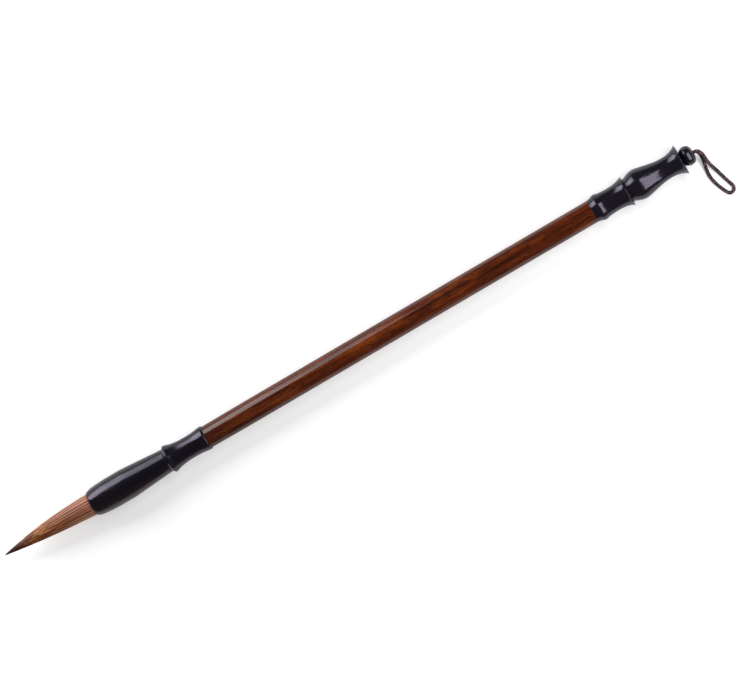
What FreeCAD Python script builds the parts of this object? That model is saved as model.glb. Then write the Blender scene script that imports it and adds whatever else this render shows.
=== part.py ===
import FreeCAD, Part
import os
from math import acos, asin, cos, pi, radians, sin, sqrt, tan

# Calligraphy brush lying on its side, millimetres.
# The brush's axis runs along X: hair tip at -X, hanging loop at +X, +Z up.
# The origin lies on the surface below the middle of the brush, which is measured without its cord.

# Driving dimensions
STOCK_RADIUS = 6.1           # largest radius of every horn turning, so the brush lies level
HAIR_LENGTH = 39.7           # tuft standing out of the cup
CUP_LENGTH = 33.6
COLLAR_LENGTH = 17.9
SHAFT_LENGTH = 169.9         # wood in view between the two horn collars
TAIL_COLLAR_LENGTH = 15.0
TAIL_BULB_LENGTH = 23.2

HAIR_RADIUS = 4.43           # tuft at the mouth of the cup
CUP_BORE_RADIUS = 4.5
CUP_BORE_DEPTH = 14.0
CUP_LAND_START = 9.5         # straight stretch of the cup that a protective cap closes on
CUP_LAND_LENGTH = 5.0
CUP_REAR_RADIUS = 4.75
RING_RADIUS = 5.65
COLLAR_LIP_RADIUS = 4.93
SHAFT_RADIUS = 4.55

TENON_RADIUS = 3.0           # wooden tenons and the collar's spigot
SPIGOT_LENGTH = 11.0
FRONT_TENON_LENGTH = 11.5
TAIL_TENON_LENGTH = 7.0
DOWEL_RADIUS = 2.3
DOWEL_LENGTH = 16.0
GLUE_GAP = 0.04              # radial room for glue round every tenon, spigot and dowel
TENON_END_GAP = 0.3

BEND_PIVOT_OUT = 4.0         # the tuft bends about a point this far outside the cup
BEND_BALL_RADIUS = 4.86
BEND_GAP = 0.08
LAYER_GAP = 0.04             # between the wrapped layers of hair
COVER_THICKNESS = 0.9
CORE_RADIUS = 1.7
COVER_END = 9.0              # distance of the cover hairs' ends from the tip
MIDDLE_END = 15.0
BUTT_OVERLAP = 2.0           # straight stretch of the tuft's outline inside the mouth of the cup

THREAD_RADIUS = 0.22
THREAD_TURNS = 6
THREAD_PITCH = 0.52
BINDING_RADIUS = 4.0         # bottom of the groove that the thread lies in
ROSIN_THICKNESS = 1.4

CORD_RADIUS = 0.7
STRAND_OFFSET = 0.74         # the cord's two strands lie this far above and below the brush's axis
CORD_BORE_RADIUS = 1.5
KNOT_RADIUS = 2.15
KNOT_LENGTH = 3.6
KNOT_CAVITY_LENGTH = 4.4
BEAD_RADIUS = 3.92
BEAD_LENGTH = 5.45
BEAD_SINK = 0.4              # depth of the bead's end inside the dished end of the bulb
DISH_RADIUS = 5.5
DISH_DEPTH = 1.0
LOOP_PIVOT_OUT = 1.05        # the loop swings about an upright axis this far outside the bead

# Stations along X
BRUSH_LENGTH = HAIR_LENGTH + CUP_LENGTH + COLLAR_LENGTH + SHAFT_LENGTH + TAIL_COLLAR_LENGTH + TAIL_BULB_LENGTH
TIP_X = -BRUSH_LENGTH / 2
MOUTH_X = TIP_X + HAIR_LENGTH
COLLAR_X = MOUTH_X + CUP_LENGTH
SHAFT_X = COLLAR_X + COLLAR_LENGTH
TAIL_COLLAR_X = SHAFT_X + SHAFT_LENGTH
TAIL_BULB_X = TAIL_COLLAR_X + TAIL_COLLAR_LENGTH
END_X = TAIL_BULB_X + TAIL_BULB_LENGTH
BEAD_X = END_X - BEAD_SINK
BEAD_END_X = BEAD_X + BEAD_LENGTH
LOOP_PIVOT_X = BEAD_END_X + LOOP_PIVOT_OUT
BEND_PIVOT_X = MOUTH_X - BEND_PIVOT_OUT
AXIS_Z = STOCK_RADIUS

# Route of the hanging loop, chosen by hand: x, y, z.
# It leaves the bead as the upper strand, sinks to the surface, folds back and returns as the lower one.
LOOP_ROUTE = [
    (LOOP_PIVOT_X, 0.0, AXIS_Z + STRAND_OFFSET),
    (156.7, -0.55, 6.78),
    (157.3, -1.75, 6.35),
    (157.5, -3.3, 5.5),
    (157.5, -4.85, 4.4),
    (157.65, -6.4, 3.1),
    (158.1, -8.1, 1.9),
    (158.75, -10.2, 1.0),
    (159.4, -12.5, 0.7),
    (160.0, -14.7, 0.7),
    (160.55, -16.35, 0.7),
    (161.0, -17.5, 0.7),
    (161.15, -18.5, 0.7),
    (160.9, -19.45, 0.7),
    (160.15, -20.1, 0.7),
    (159.15, -20.2, 0.7),
    (158.25, -19.7, 0.7),
    (157.6, -18.4, 0.7),
    (156.85, -16.7, 0.7),
    (156.15, -14.8, 0.7),
    (155.6, -12.85, 0.7),
    (155.35, -10.9, 0.7),
    (155.45, -9.05, 0.7),
    (155.75, -7.3, 1.05),
    (156.15, -5.65, 1.9),
    (156.45, -4.1, 2.95),
    (156.6, -2.55, 4.05),
    (156.45, -1.15, 4.95),
    (LOOP_PIVOT_X, 0.0, AXIS_Z - STRAND_OFFSET),
]


def point(x, radius):
    """Point of an outline: x along the brush, and a distance from its axis."""
    return FreeCAD.Vector(x, 0, AXIS_Z + radius)


def straight(x0, r0, x1, r1):
    """Straight edge of an outline."""
    return Part.makeLine(point(x0, r0), point(x1, r1))


def smooth(stations, start=None, end=None):
    """Smooth edge of an outline through (x, radius) stations, with optional end directions (dx, dr)."""
    curve = Part.BSplineCurve()
    through = [point(x, radius) for x, radius in stations]
    if start and end:
        first = FreeCAD.Vector(start[0], 0, start[1])
        last = FreeCAD.Vector(end[0], 0, end[1])
        curve.interpolate(Points=through, InitialTangent=first, FinalTangent=last)
    else:
        curve.interpolate(Points=through)
    return curve.toShape()


def turn(edges):
    """Solid that a closed outline sweeps in a full turn about the brush's axis."""
    outline = Part.Face(Part.Wire(edges))
    solid = outline.revolve(FreeCAD.Vector(0, 0, AXIS_Z), FreeCAD.Vector(1, 0, 0), 360)
    if solid.Volume < 0:
        solid.reverse()
    return solid


def turn_closed(edges, x0, r0, x1, r1):
    """Turned solid: an outer outline from (x0, r0) to (x1, r1), closed by flat ends on the axis."""
    ends = [straight(x1, r1, x1, 0), straight(x1, 0, x0, 0), straight(x0, 0, x0, r0)]
    return turn(edges + ends)


def rod(x, length, radius, z_offset=0.0):
    """Round rod along the brush from station x."""
    return Part.makeCylinder(radius, length, FreeCAD.Vector(x, 0, AXIS_Z + z_offset), FreeCAD.Vector(1, 0, 0))


def tuft_stations(shrink=0.0):
    """Outline of the tuft from tip to mouth: a long slim point that fills out towards the cup."""
    shape = [(0.0, 0.28), (3.6, 0.9), (7.0, 1.47), (13.0, 2.37), (20.0, 3.18), (28.0, 3.85), (34.5, 4.24)]
    stations = [(TIP_X + along, radius - shrink) for along, radius in shape]
    return stations + [(MOUTH_X, HAIR_RADIUS - shrink)]


def tuft_outline_solid(shrink=0.0):
    """Solid inside the tuft's outline, from the tip to a little way inside the cup."""
    stations = [(x, radius) for x, radius in tuft_stations(shrink) if radius > 0.2]
    first, last = stations[0], stations[-1]
    inside = straight(last[0], last[1], last[0] + BUTT_OVERLAP, last[1])
    return turn_closed([smooth(stations), inside], first[0], first[1], last[0] + BUTT_OVERLAP, last[1])


def bend_side():
    """Everything that moves when the tuft bends: the room ahead of the pivot, with the ball round it."""
    ball = Part.makeSphere(BEND_BALL_RADIUS, FreeCAD.Vector(BEND_PIVOT_X, 0, AXIS_Z))
    ahead = rod(TIP_X - 1, BEND_PIVOT_X - TIP_X + 1, 2 * STOCK_RADIUS)
    return ball.fuse(ahead)


def hair_core():
    """Stiff pillar of hairs. Ahead of the cover hairs it is the whole tip of the tuft."""
    tuft = tuft_outline_solid().common(bend_side())
    pillar = rod(TIP_X + COVER_END, HAIR_LENGTH + STOCK_RADIUS, CORE_RADIUS)
    tip = rod(TIP_X - 1, COVER_END + 1, STOCK_RADIUS)
    under_cover = tuft_outline_solid(COVER_THICKNESS + LAYER_GAP)
    return tuft.common(tip).fuse(pillar.common(under_cover).common(bend_side())).removeSplitter()


def hair_middle():
    """Secondary hairs wrapped round the pillar, shorter than it."""
    bundle = tuft_outline_solid(COVER_THICKNESS + LAYER_GAP).common(bend_side())
    behind = rod(TIP_X + MIDDLE_END, HAIR_LENGTH, STOCK_RADIUS)
    hollow = rod(TIP_X, HAIR_LENGTH + STOCK_RADIUS, CORE_RADIUS + LAYER_GAP)
    return bundle.common(behind).cut(hollow)


def hair_cover():
    """Outer hairs wrapped round the bundle."""
    bundle = tuft_outline_solid().common(bend_side())
    behind = rod(TIP_X + COVER_END + LAYER_GAP, HAIR_LENGTH, STOCK_RADIUS)
    return bundle.common(behind).cut(tuft_outline_solid(COVER_THICKNESS))


def hair_root():
    """Bound butt of the tuft inside the cup, hollowed for the ball on which the tuft bends."""
    inside = rod(MOUTH_X + BUTT_OVERLAP, CUP_BORE_DEPTH - ROSIN_THICKNESS - BUTT_OVERLAP, HAIR_RADIUS)
    outside = tuft_outline_solid().common(rod(BEND_PIVOT_X, BRUSH_LENGTH, STOCK_RADIUS))
    groove_length = THREAD_TURNS * THREAD_PITCH
    groove = rod(binding_x(), groove_length, STOCK_RADIUS).cut(rod(binding_x(), groove_length, BINDING_RADIUS))
    socket = Part.makeSphere(BEND_BALL_RADIUS + BEND_GAP, FreeCAD.Vector(BEND_PIVOT_X, 0, AXIS_Z))
    return inside.fuse(outside).removeSplitter().cut(groove).cut(socket)


def binding_x():
    """Start of the thread winding, near the butt end of the hairs."""
    return MOUTH_X + CUP_BORE_DEPTH - ROSIN_THICKNESS - 1.5 - THREAD_TURNS * THREAD_PITCH


def root_binding():
    """Turns of thread round the butt of the tuft, side by side."""
    turns = []
    for number in range(THREAD_TURNS):
        centre = FreeCAD.Vector(binding_x() + (number + 0.5) * THREAD_PITCH, 0, AXIS_Z)
        ring_radius = BINDING_RADIUS + THREAD_RADIUS + 0.01
        turns.append(Part.makeTorus(ring_radius, THREAD_RADIUS, centre, FreeCAD.Vector(1, 0, 0)))
    return Part.makeCompound(turns)


def rosin_seal():
    """Disc of rosin melted over the butt ends of the hairs at the bottom of the cup."""
    return rod(MOUTH_X + CUP_BORE_DEPTH - ROSIN_THICKNESS, ROSIN_THICKNESS, CUP_BORE_RADIUS)


def ferrule_cup():
    """Turned horn cup: rounded lip, barrel with a straight land, long taper, bores at both ends."""
    land_x = MOUTH_X + CUP_LAND_START
    land_end = land_x + CUP_LAND_LENGTH
    lip_radius = CUP_BORE_RADIUS + 0.15
    front_stations = [
        (MOUTH_X, lip_radius),
        (MOUTH_X + 0.8, 5.25),
        (MOUTH_X + 3.1, 5.72),
        (MOUTH_X + 6.6, 5.99),
        (land_x, STOCK_RADIUS),
    ]
    rear_stations = [
        (land_end, STOCK_RADIUS),
        (MOUTH_X + 19.4, 5.83),
        (MOUTH_X + 26.8, 5.25),
        (COLLAR_X, CUP_REAR_RADIUS),
    ]
    front = smooth(front_stations, start=(0, 1), end=(1, 0))
    land = straight(land_x, STOCK_RADIUS, land_end, STOCK_RADIUS)
    rear = smooth(rear_stations, start=(1, 0), end=(1, -0.05))
    cup = turn_closed([front, land, rear], MOUTH_X, lip_radius, COLLAR_X, CUP_REAR_RADIUS)
    hair_bore = rod(MOUTH_X, CUP_BORE_DEPTH, CUP_BORE_RADIUS)
    spigot_depth = SPIGOT_LENGTH + TENON_END_GAP
    spigot_bore = rod(COLLAR_X - spigot_depth, spigot_depth, TENON_RADIUS + GLUE_GAP)
    return cup.cut(hair_bore).cut(spigot_bore)


def ferrule_collar():
    """Turned horn collar: sharp ring at the front, hollow waist, small lip on the wood, spigot in the cup."""
    ring_x = COLLAR_X + 1.0
    lip_x = SHAFT_X - 1.0
    end_radius = COLLAR_LIP_RADIUS - 0.33
    waist_stations = [
        (ring_x + 0.6, RING_RADIUS),
        (COLLAR_X + 2.3, 5.4),
        (COLLAR_X + 4.0, 4.92),
        (COLLAR_X + 7.0, 4.47),
        (COLLAR_X + 10.2, 4.37),
        (COLLAR_X + 13.2, 4.48),
        (COLLAR_X + 15.4, 4.76),
        (lip_x, COLLAR_LIP_RADIUS),
    ]
    ring_face = straight(COLLAR_X, CUP_REAR_RADIUS, ring_x, RING_RADIUS)
    ring_top = straight(ring_x, RING_RADIUS, ring_x + 0.6, RING_RADIUS)
    waist = smooth(waist_stations)
    lip = smooth([(lip_x, COLLAR_LIP_RADIUS), (lip_x + 0.5, COLLAR_LIP_RADIUS - 0.05), (SHAFT_X, end_radius)])
    collar = turn_closed([ring_face, ring_top, waist, lip], COLLAR_X, CUP_REAR_RADIUS, SHAFT_X, end_radius)
    spigot = rod(COLLAR_X - SPIGOT_LENGTH, SPIGOT_LENGTH, TENON_RADIUS)
    tenon_depth = FRONT_TENON_LENGTH + TENON_END_GAP
    tenon_bore = rod(SHAFT_X - tenon_depth, tenon_depth, TENON_RADIUS + GLUE_GAP)
    return collar.fuse(spigot).removeSplitter().cut(tenon_bore)


def shaft():
    """Rosewood stick, a little slimmer at the front, with a tenon turned at each end."""
    full_x = SHAFT_X + 20
    front_radius = SHAFT_RADIUS - 0.12
    tail_radius = SHAFT_RADIUS - 0.03
    front = smooth([(SHAFT_X, front_radius), (full_x, SHAFT_RADIUS)], start=(1, 0.011), end=(1, 0))
    rest = straight(full_x, SHAFT_RADIUS, TAIL_COLLAR_X, tail_radius)
    stick = turn_closed([front, rest], SHAFT_X, front_radius, TAIL_COLLAR_X, tail_radius)
    front_tenon = rod(SHAFT_X - FRONT_TENON_LENGTH, FRONT_TENON_LENGTH, TENON_RADIUS)
    tail_tenon = rod(TAIL_COLLAR_X, TAIL_TENON_LENGTH, TENON_RADIUS)
    return stick.fuse(front_tenon).fuse(tail_tenon).removeSplitter()


def tail_collar():
    """Turned horn collar: rounded shoulder, hollow waist and a thin flared lip."""
    lip_thickness = 0.25
    shoulder_x = TAIL_COLLAR_X + 2.85
    shoulder_radius = 5.34
    shoulder_stations = [
        (TAIL_COLLAR_X, 4.62),
        (TAIL_COLLAR_X + 1.1, 4.85),
        (TAIL_COLLAR_X + 1.9, 5.15),
        (shoulder_x, shoulder_radius),
    ]
    flare_stations = [
        (shoulder_x, shoulder_radius),
        (TAIL_COLLAR_X + 4.1, 5.1),
        (TAIL_COLLAR_X + 6.2, 4.83),
        (TAIL_COLLAR_X + 9.3, 4.75),
        (TAIL_COLLAR_X + 11.8, 4.97),
        (TAIL_COLLAR_X + 13.4, 5.4),
        (TAIL_BULB_X - lip_thickness, STOCK_RADIUS),
    ]
    edges = [
        smooth(shoulder_stations, start=(1, 0.1), end=(1, 0)),
        smooth(flare_stations, start=(1, 0), end=(1, 0.9)),
        straight(TAIL_BULB_X - lip_thickness, STOCK_RADIUS, TAIL_BULB_X, STOCK_RADIUS - 0.08),
    ]
    collar = turn_closed(edges, TAIL_COLLAR_X, 4.62, TAIL_BULB_X, STOCK_RADIUS - 0.08)
    tenon_depth = TAIL_TENON_LENGTH + TENON_END_GAP
    tenon_bore = rod(TAIL_COLLAR_X, tenon_depth, TENON_RADIUS + GLUE_GAP)
    dowel_bore = rod(TAIL_COLLAR_X, TAIL_COLLAR_LENGTH, DOWEL_RADIUS + GLUE_GAP)
    return collar.cut(tenon_bore).cut(dowel_bore)


def dowel_x():
    """Front end of the dowel, just behind the shaft's tenon."""
    return TAIL_COLLAR_X + TAIL_TENON_LENGTH + TENON_END_GAP


def knot_cavity_x():
    """Front of the room for the knot, where the dowel ends."""
    return dowel_x() + DOWEL_LENGTH


def tail_dowel():
    """Wooden peg glued into the tail collar and the tail bulb."""
    return rod(dowel_x(), DOWEL_LENGTH, DOWEL_RADIUS)


def tail_bulb():
    """Turned horn finial: short neck, angular belly, hollow waist, flared and dished end, bored for the cord."""
    lip_thickness = 0.25
    neck_end = TAIL_BULB_X + 0.7
    neck_radius = 4.85
    belly_x = TAIL_BULB_X + 5.1
    belly_stations = [
        (neck_end, neck_radius),
        (TAIL_BULB_X + 1.6, 5.22),
        (TAIL_BULB_X + 2.8, 5.7),
        (TAIL_BULB_X + 4.0, 6.02),
        (belly_x, STOCK_RADIUS),
    ]
    flare_stations = [
        (belly_x, STOCK_RADIUS),
        (TAIL_BULB_X + 7.2, 5.8),
        (TAIL_BULB_X + 10.6, 5.03),
        (TAIL_BULB_X + 13.8, 4.4),
        (TAIL_BULB_X + 16.4, 4.2),
        (TAIL_BULB_X + 18.8, 4.32),
        (TAIL_BULB_X + 20.8, 4.85),
        (TAIL_BULB_X + 22.1, 5.47),
        (END_X - lip_thickness, STOCK_RADIUS),
    ]
    edges = [
        straight(TAIL_BULB_X, neck_radius, neck_end, neck_radius),
        smooth(belly_stations, start=(1, 0.25), end=(1, 0)),
        smooth(flare_stations, start=(1, 0), end=(1, 0.9)),
        straight(END_X - lip_thickness, STOCK_RADIUS, END_X, STOCK_RADIUS - 0.08),
    ]
    bulb = turn_closed(edges, TAIL_BULB_X, neck_radius, END_X, STOCK_RADIUS - 0.08)
    hollow_depth = knot_cavity_x() + KNOT_CAVITY_LENGTH - TAIL_BULB_X
    front_bore = rod(TAIL_BULB_X, hollow_depth, DOWEL_RADIUS + GLUE_GAP)
    cord_bore = rod(TAIL_BULB_X, TAIL_BULB_LENGTH, CORD_BORE_RADIUS)
    dish_ball = (DISH_RADIUS**2 + DISH_DEPTH**2) / (2 * DISH_DEPTH)
    dish = Part.makeSphere(dish_ball, FreeCAD.Vector(END_X - DISH_DEPTH + dish_ball, 0, AXIS_Z))
    return bulb.cut(front_bore).cut(cord_bore).cut(dish)


def stopper_knot():
    """Tight knot that stops both strands inside the bulb, drawn up against the narrow bore."""
    x0 = knot_cavity_x() + KNOT_CAVITY_LENGTH - KNOT_LENGTH
    x1 = x0 + KNOT_LENGTH
    end_radius = KNOT_RADIUS * 0.7
    body = smooth([(x0, end_radius), ((x0 + x1) / 2, KNOT_RADIUS), (x1, end_radius)])
    return turn_closed([body], x0, end_radius, x1, end_radius)


def cord_stem():
    """The cord's two strands from the knot to the outer end of the bead, one above the other."""
    start = knot_cavity_x() + KNOT_CAVITY_LENGTH
    length = BEAD_END_X - 0.3 - start
    strands = [rod(start, length, CORD_RADIUS, side * STRAND_OFFSET) for side in (-1, 1)]
    return Part.makeCompound(strands)


def bead():
    """Bored horn bead, flatter at its ends, held against the dished end of the bulb by the cord."""
    stations = [
        (BEAD_X, 2.15),
        (BEAD_X + 0.45, 2.68),
        (BEAD_X + 1.1, 3.2),
        (BEAD_X + 1.8, 3.62),
        (BEAD_X + 2.5, 3.86),
        (BEAD_X + 3.2, BEAD_RADIUS),
        (BEAD_X + 3.75, 3.8),
        (BEAD_X + 4.3, 3.6),
        (BEAD_X + 4.8, 3.2),
        (BEAD_X + 5.15, 2.68),
        (BEAD_END_X, 2.0),
    ]
    body = turn_closed([smooth(stations)], BEAD_X, 2.15, BEAD_END_X, 2.0)
    return body.cut(rod(BEAD_X, BEAD_LENGTH, CORD_BORE_RADIUS))


def loop_path():
    """Straight runs joined by tangent arcs, each arc as large as its two runs allow."""
    points = [FreeCAD.Vector(*p) for p in LOOP_ROUTE]
    edges = []
    radii = []
    start = points[0]
    for before, corner, after in zip(points, points[1:], points[2:]):
        run_in = corner - before
        run_out = after - corner
        turn_angle = run_in.getAngle(run_out)
        setback = 0.45 * min(run_in.Length, run_out.Length)
        radius = setback / tan(turn_angle / 2)
        to_before = (before - corner).normalize()
        to_after = (after - corner).normalize()
        arc_start = corner + to_before * setback
        arc_end = corner + to_after * setback
        to_centre = (to_before + to_after).normalize()
        middle = corner + to_centre * (sqrt(radius**2 + setback**2) - radius)
        edges.append(Part.LineSegment(start, arc_start).toShape())
        edges.append(Part.Arc(arc_start, middle, arc_end).toShape())
        radii.append(radius)
        start = arc_end
    edges.append(Part.LineSegment(start, points[-1]).toShape())
    return Part.Wire(edges), radii


def cord_loop():
    """Hanging loop, one round cord with round ends, which stand one above the other at the loop's pivot."""
    path, radii = loop_path()
    first = FreeCAD.Vector(*LOOP_ROUTE[0])
    last = FreeCAD.Vector(*LOOP_ROUTE[-1])
    direction = FreeCAD.Vector(*LOOP_ROUTE[1]) - first
    section = Part.Wire(Part.makeCircle(CORD_RADIUS, first, direction))
    tube = path.makePipeShell([section], True, False, 2)
    ideal = pi * CORD_RADIUS**2 * path.Length
    print("loop: length %.1f mm, tube volume / ideal %.4f" % (path.Length, tube.Volume / ideal))
    print("loop radii, mm:", " ".join("%.2f" % radius for radius in radii))
    for end in (first, last):
        tube = tube.fuse(Part.makeSphere(CORD_RADIUS, end))
    return tube.removeSplitter()


PIECES = {
    "hair_core": hair_core,
    "hair_middle": hair_middle,
    "hair_cover": hair_cover,
    "hair_root": hair_root,
    "root_binding": root_binding,
    "rosin_seal": rosin_seal,
    "ferrule_cup": ferrule_cup,
    "ferrule_collar": ferrule_collar,
    "shaft": shaft,
    "tail_collar": tail_collar,
    "tail_dowel": tail_dowel,
    "tail_bulb": tail_bulb,
    "stopper_knot": stopper_knot,
    "cord_stem": cord_stem,
    "bead": bead,
    "cord_loop": cord_loop,
}

os.makedirs("parts", exist_ok=True)
for name, make in PIECES.items():
    shape = make()
    box = shape.BoundBox
    print("%-15s solids %d valid %s volume %8.1f x %8.2f..%8.2f z %6.3f..%6.3f" % (
        name, len(shape.Solids), shape.isValid(), shape.Volume, box.XMin, box.XMax, box.ZMin, box.ZMax))
    shape.exportStep("parts/" + name + ".step")
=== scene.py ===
from math import cos, pi, radians, sin

import bpy
import numpy as np
from mathutils import Matrix, Vector


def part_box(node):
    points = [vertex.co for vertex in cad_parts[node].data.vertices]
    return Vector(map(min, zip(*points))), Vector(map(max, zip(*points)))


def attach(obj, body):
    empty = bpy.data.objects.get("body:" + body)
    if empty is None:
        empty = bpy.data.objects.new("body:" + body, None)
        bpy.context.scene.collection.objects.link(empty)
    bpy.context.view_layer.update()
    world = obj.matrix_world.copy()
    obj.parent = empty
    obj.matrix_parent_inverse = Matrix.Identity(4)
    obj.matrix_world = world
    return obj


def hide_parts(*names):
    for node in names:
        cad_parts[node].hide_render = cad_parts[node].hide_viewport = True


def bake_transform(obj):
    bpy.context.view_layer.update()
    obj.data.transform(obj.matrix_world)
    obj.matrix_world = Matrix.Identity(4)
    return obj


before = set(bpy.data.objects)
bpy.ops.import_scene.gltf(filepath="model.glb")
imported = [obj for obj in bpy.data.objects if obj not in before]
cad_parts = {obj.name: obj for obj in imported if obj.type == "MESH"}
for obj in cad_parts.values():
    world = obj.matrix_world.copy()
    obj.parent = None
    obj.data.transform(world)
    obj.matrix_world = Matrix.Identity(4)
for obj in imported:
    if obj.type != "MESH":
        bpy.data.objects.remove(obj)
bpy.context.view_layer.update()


# The viewpoint
# A long lens looks down on the brush, from a little towards the tail, so that the hair tip lies at the
# lower left and the hanging loop at the upper right.
mm = 0.001
shaft_low, shaft_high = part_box("shaft")
axis_z = (shaft_low.z + shaft_high.z) / 2
view_target = Vector((2.1 * mm, 0.75 * mm, axis_z))
view_distance = 1.5
view_tilt = radians(7.5)     # from straight above towards the tail
view_roll = radians(30.34)   # how far the brush climbs to the right
view_width = 0.279           # seen across the picture at the brush
view_right, view_up = 10.05 * mm, 4.3 * mm
along = Vector((cos(view_tilt), 0, -sin(view_tilt)))
across = Vector((0, 1, 0))
towards = Vector((sin(view_tilt), 0, cos(view_tilt)))
picture_right = cos(view_roll) * along - sin(view_roll) * across
picture_up = sin(view_roll) * along + cos(view_roll) * across
picture_centre = view_target + view_right * picture_right + view_up * picture_up
camera = bpy.data.objects.new("camera", bpy.data.cameras.new("camera"))
camera.data.sensor_width = 36
camera.data.lens = camera.data.sensor_width * view_distance / view_width
camera.data.clip_end = 20
place = Matrix((picture_right, picture_up, towards)).transposed().to_4x4()
place.translation = picture_centre + towards * view_distance
camera.matrix_world = place
bpy.context.scene.collection.objects.link(camera)
bpy.context.scene.camera = camera
bpy.context.scene.view_settings.view_transform = "Standard"


# The table and the light
# A matt white table, a tall soft box beyond the brush, whose three panels grow dimmer towards the tail and
# draw the long pale streak on the horn and the lacquer, and a long one above the tail, which draws the window
# shapes on the turned pieces.
def linear(colour):
    """sRGB hex colour as linear RGBA: a channel c becomes c / 12.92 when it is dark, and otherwise
    ((c + 0.055) / 1.055) ** 2.4."""
    channels = np.array([int(colour[i:i + 2], 16) for i in (1, 3, 5)]) / 255
    bright = ((channels + 0.055) / 1.055) ** 2.4
    return (*np.where(channels <= 0.04045, channels / 12.92, bright).tolist(), 1.0)


def add(tree, kind, inputs=None, stops=None, **settings):
    """Adds a node. inputs maps a socket to a value or to the socket that feeds it, stops are the positions
    and colours of a ramp, and settings are the node's own."""
    made = tree.nodes.new(kind)
    for name, value in settings.items():
        setattr(made, name, value)
    for socket, value in (inputs or {}).items():
        if isinstance(value, bpy.types.NodeSocket):
            tree.links.new(value, made.inputs[socket])
        else:
            made.inputs[socket].default_value = value
    for number, (position, colour) in enumerate(stops or []):
        elements = made.color_ramp.elements
        stop = elements[number] if number < 2 else elements.new(position)
        stop.position = position
        stop.color = linear(colour)
    return made


def new_material(name):
    """Empty material: its node tree, and its output node."""
    made = bpy.data.materials.new(name)
    made.use_nodes = True
    made.node_tree.nodes.clear()
    return made, made.node_tree, made.node_tree.nodes.new("ShaderNodeOutputMaterial")


table_size = 6.0
table_colour = "#e4e4e4"
table_lift = 0.36            # extra brightness of the table, seen by the camera and in reflections only
table_half = table_size / 2
table_mesh = bpy.data.meshes.new("table")
table_corners = [(x * table_half, y * table_half, 0) for x, y in ((-1, -1), (1, -1), (1, 1), (-1, 1))]
table_mesh.from_pydata(table_corners, [], [(0, 1, 2, 3)])
table = bpy.data.objects.new("table", table_mesh)
bpy.context.scene.collection.objects.link(table)
# Matt white board: no gloss, a little lifted to white where it is seen or mirrored.
board, tree, output = new_material("matt_white_board")
path = add(tree, "ShaderNodeLightPath")
seen = add(tree, "ShaderNodeMath", {0: path.outputs["Is Camera Ray"], 1: path.outputs["Is Glossy Ray"]})
seen = add(tree, "ShaderNodeMath", {0: seen.outputs[0], 1: path.outputs["Is Transmission Ray"]})
lift = add(tree, "ShaderNodeMath", {0: seen.outputs[0], 1: table_lift}, operation="MULTIPLY")
matt = add(tree, "ShaderNodeBsdfDiffuse", {"Color": linear(table_colour)})
glow = add(tree, "ShaderNodeEmission", {"Strength": lift.outputs[0]})
both = add(tree, "ShaderNodeAddShader", {0: matt.outputs[0], 1: glow.outputs[0]})
tree.links.new(both.outputs[0], output.inputs["Surface"])
table_mesh.materials.append(board)


def soft_box(name, centre, level, facing, width, height, brightness):
    """Rectangular lamp of that even brightness (radiance). Its width runs along level, and it shines towards
    facing."""
    lamp = bpy.data.lights.new(name, "AREA")
    lamp.shape = "RECTANGLE"
    lamp.size = width
    lamp.size_y = height
    lamp.energy = brightness * pi * width * height
    box = bpy.data.objects.new(name, lamp)
    back = -Vector(facing).normalized()
    level = Vector(level).normalized()
    turn = Matrix((level, back.cross(level), back)).transposed().to_4x4()
    turn.translation = Vector(centre)
    box.matrix_world = turn
    bpy.context.scene.collection.objects.link(box)


side_distance, side_height = 0.60, 0.40      # of the panels' middles, from the brush and from the table
side_depth = 0.63
side_panels = [(-0.53, 0.52, 8.4), (-0.20, 0.14, 6.2), (-0.095, 0.07, 3.4)]    # middle, width, brightness
for number, (middle, width, brightness) in enumerate(side_panels):
    soft_box(
        f"soft_box_panel_{number}", (middle, side_distance, side_height), (1, 0, 0), (0, -1, 0), width,
        side_depth, brightness)
tail_place, tail_distance = 0.387, 0.5       # along the brush, and away from it
lean = radians(17.5)                         # from straight above, away from the panels
soft_box(
    "soft_box_tail_side", (tail_place, -tail_distance * sin(lean), tail_distance * cos(lean)),
    (0, cos(lean), sin(lean)), (0, sin(lean), -cos(lean)), 0.98, 0.20, 7.4)
world_strength = 0.14
world = bpy.data.worlds.new("studio")
world.use_nodes = True
world.node_tree.nodes["Background"].inputs["Color"].default_value = linear("#ffffff")
world.node_tree.nodes["Background"].inputs["Strength"].default_value = world_strength
bpy.context.scene.world = world


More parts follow.
